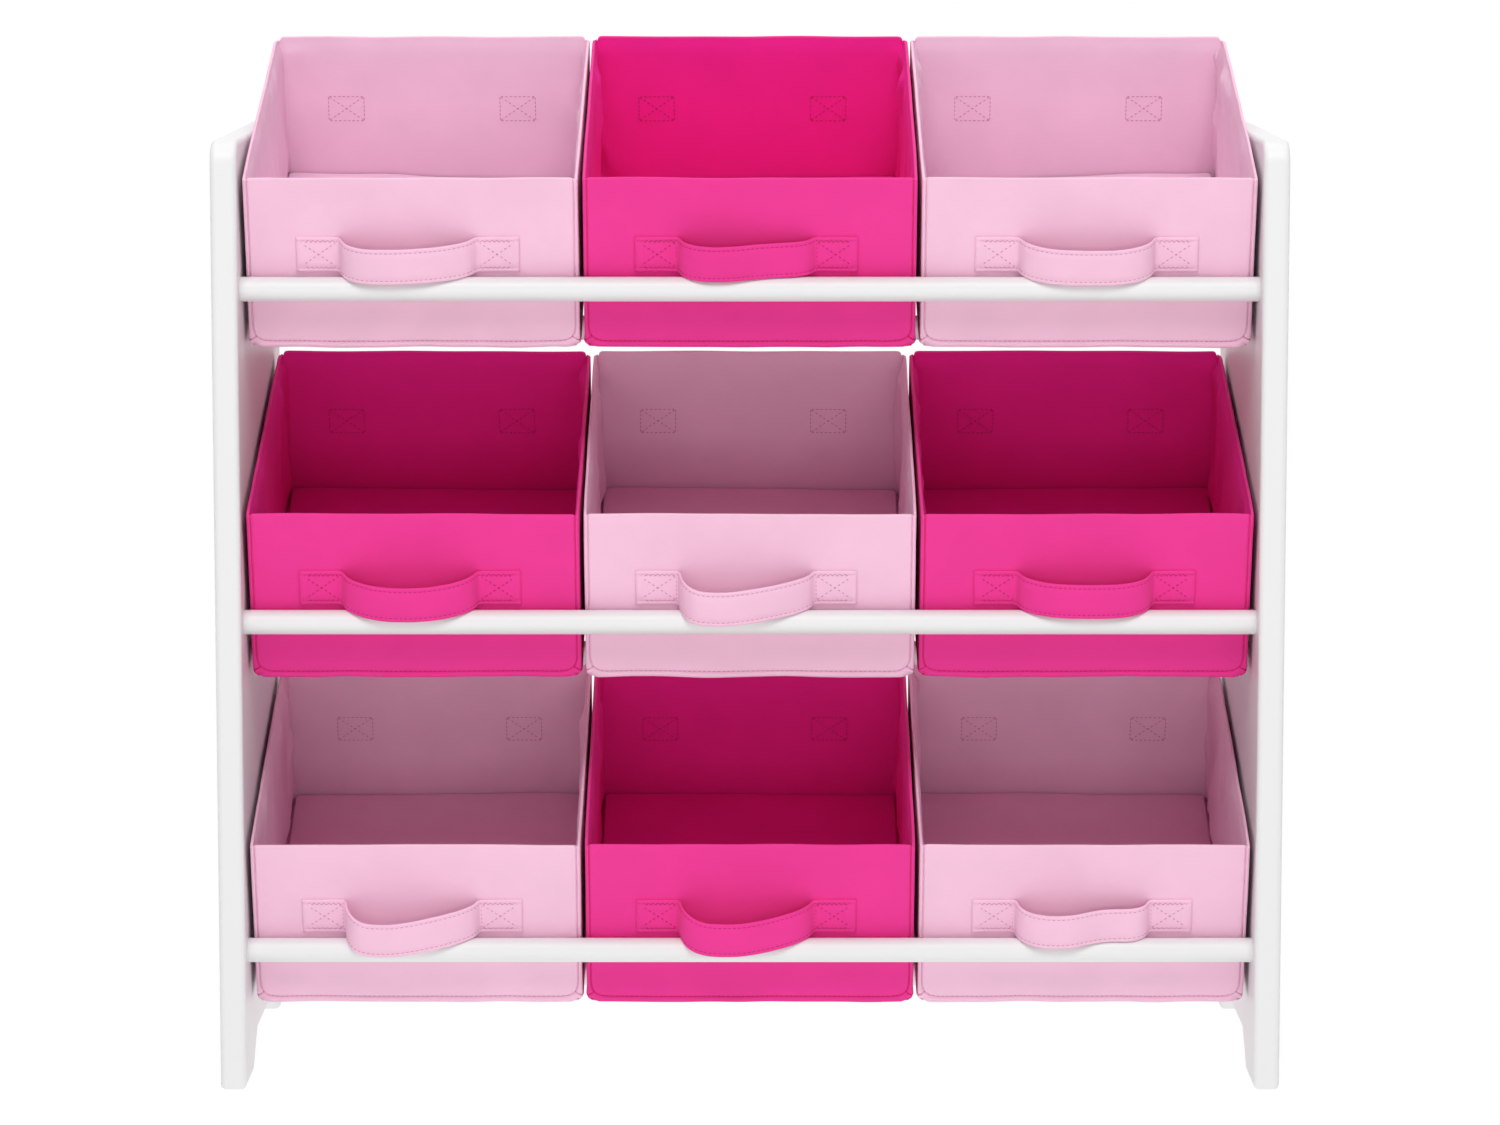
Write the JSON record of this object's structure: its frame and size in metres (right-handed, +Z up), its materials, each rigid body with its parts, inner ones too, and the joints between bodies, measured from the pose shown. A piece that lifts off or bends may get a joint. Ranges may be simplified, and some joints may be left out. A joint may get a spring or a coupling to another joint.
{
  "type": "fabric bin storage organizer",
  "caption": "Free-standing children's organizer: two white side panels, round rails in three tiers, and tilted open fabric bins with strap handles that tip up to come out.",
  "frame": {"origin": "on the floor, at the middle of the footprint of the two side panels", "axes": "+Z up, +X to the right as seen from the front, -Y is the front, where the bins' low rims and handles are"},
  "size_m": [0.65, 0.29, 0.6369],
  "materials": {
    "white_lacquered_board": "white satin lacquer on fibreboard",
    "white_lacquered_dowel": "white satin lacquer on a turned dowel",
    "light_pink_fabric": "fine pressed non-woven cloth, light pink",
    "hot_pink_fabric": "fine pressed non-woven cloth, hot pink",
    "card": "grey-brown stiff card, sewn inside the walls",
    "steel": "zinc plated",
    "white_plastic": "moulded, slightly rough"
  },
  "bodies": {
    "frame": {"side_panel_left": "white_lacquered_board", "side_panel_right": "white_lacquered_board", "front_rail_bottom": "white_lacquered_dowel", "front_rail_middle": "white_lacquered_dowel", "front_rail_top": "white_lacquered_dowel", "support_rail_front_bottom": "white_lacquered_dowel", "support_rail_front_middle": "white_lacquered_dowel", "support_rail_front_top": "white_lacquered_dowel", "support_rail_rear_bottom": "white_lacquered_dowel", "support_rail_rear_middle": "white_lacquered_dowel", "support_rail_rear_top": "white_lacquered_dowel", "rail_screws": "steel", "screw_caps": "white_plastic"},
    "bin_bottom_left": {"bin_bottom_left_cover": "light_pink_fabric", "bin_bottom_left_wall_boards": "card", "bin_bottom_left_base_board": "light_pink_fabric", "bin_bottom_left_front_handle": "light_pink_fabric", "bin_bottom_left_rear_handle": "light_pink_fabric"},
    "bin_bottom_centre": {"bin_bottom_centre_cover": "hot_pink_fabric", "bin_bottom_centre_wall_boards": "card", "bin_bottom_centre_base_board": "hot_pink_fabric", "bin_bottom_centre_front_handle": "hot_pink_fabric", "bin_bottom_centre_rear_handle": "hot_pink_fabric"},
    "bin_bottom_right": {"bin_bottom_right_cover": "light_pink_fabric", "bin_bottom_right_wall_boards": "card", "bin_bottom_right_base_board": "light_pink_fabric", "bin_bottom_right_front_handle": "light_pink_fabric", "bin_bottom_right_rear_handle": "light_pink_fabric"},
    "bin_middle_left": {"bin_middle_left_cover": "hot_pink_fabric", "bin_middle_left_wall_boards": "card", "bin_middle_left_base_board": "hot_pink_fabric", "bin_middle_left_front_handle": "hot_pink_fabric", "bin_middle_left_rear_handle": "hot_pink_fabric"},
    "bin_middle_centre": {"bin_middle_centre_cover": "light_pink_fabric", "bin_middle_centre_wall_boards": "card", "bin_middle_centre_base_board": "light_pink_fabric", "bin_middle_centre_front_handle": "light_pink_fabric", "bin_middle_centre_rear_handle": "light_pink_fabric"},
    "bin_middle_right": {"bin_middle_right_cover": "hot_pink_fabric", "bin_middle_right_wall_boards": "card", "bin_middle_right_base_board": "hot_pink_fabric", "bin_middle_right_front_handle": "hot_pink_fabric", "bin_middle_right_rear_handle": "hot_pink_fabric"},
    "bin_top_left": {"bin_top_left_cover": "light_pink_fabric", "bin_top_left_wall_boards": "card", "bin_top_left_base_board": "light_pink_fabric", "bin_top_left_front_handle": "light_pink_fabric", "bin_top_left_rear_handle": "light_pink_fabric"},
    "bin_top_centre": {"bin_top_centre_cover": "hot_pink_fabric", "bin_top_centre_wall_boards": "card", "bin_top_centre_base_board": "hot_pink_fabric", "bin_top_centre_front_handle": "hot_pink_fabric", "bin_top_centre_rear_handle": "hot_pink_fabric"},
    "bin_top_right": {"bin_top_right_cover": "light_pink_fabric", "bin_top_right_wall_boards": "card", "bin_top_right_base_board": "light_pink_fabric", "bin_top_right_front_handle": "light_pink_fabric", "bin_top_right_rear_handle": "light_pink_fabric"}
  },
  "joints": [
    {"name": "bin_bottom_left_tip", "type": "hinge", "parent": "frame", "child": "bin_bottom_left", "pos_m": [-0.205, 0.09514, 0.10618], "axis": [-1, 0, 0], "range_deg": [0, 20]},
    {"name": "bin_bottom_centre_tip", "type": "hinge", "parent": "frame", "child": "bin_bottom_centre", "pos_m": [0, 0.09514, 0.10618], "axis": [-1, 0, 0], "range_deg": [0, 20]},
    {"name": "bin_bottom_right_tip", "type": "hinge", "parent": "frame", "child": "bin_bottom_right", "pos_m": [0.205, 0.09514, 0.10618], "axis": [-1, 0, 0], "range_deg": [0, 20]},
    {"name": "bin_middle_left_tip", "type": "hinge", "parent": "frame", "child": "bin_middle_left", "pos_m": [-0.205, 0.09514, 0.30998], "axis": [-1, 0, 0], "range_deg": [0, 20]},
    {"name": "bin_middle_centre_tip", "type": "hinge", "parent": "frame", "child": "bin_middle_centre", "pos_m": [0, 0.09514, 0.30998], "axis": [-1, 0, 0], "range_deg": [0, 20]},
    {"name": "bin_middle_right_tip", "type": "hinge", "parent": "frame", "child": "bin_middle_right", "pos_m": [0.205, 0.09514, 0.30998], "axis": [-1, 0, 0], "range_deg": [0, 20]},
    {"name": "bin_top_left_tip", "type": "hinge", "parent": "frame", "child": "bin_top_left", "pos_m": [-0.205, 0.09514, 0.51378], "axis": [-1, 0, 0], "range_deg": [0, 20]},
    {"name": "bin_top_centre_tip", "type": "hinge", "parent": "frame", "child": "bin_top_centre", "pos_m": [0, 0.09514, 0.51378], "axis": [-1, 0, 0], "range_deg": [0, 20]},
    {"name": "bin_top_right_tip", "type": "hinge", "parent": "frame", "child": "bin_top_right", "pos_m": [0.205, 0.09514, 0.51378], "axis": [-1, 0, 0], "range_deg": [0, 20]}
  ]
}
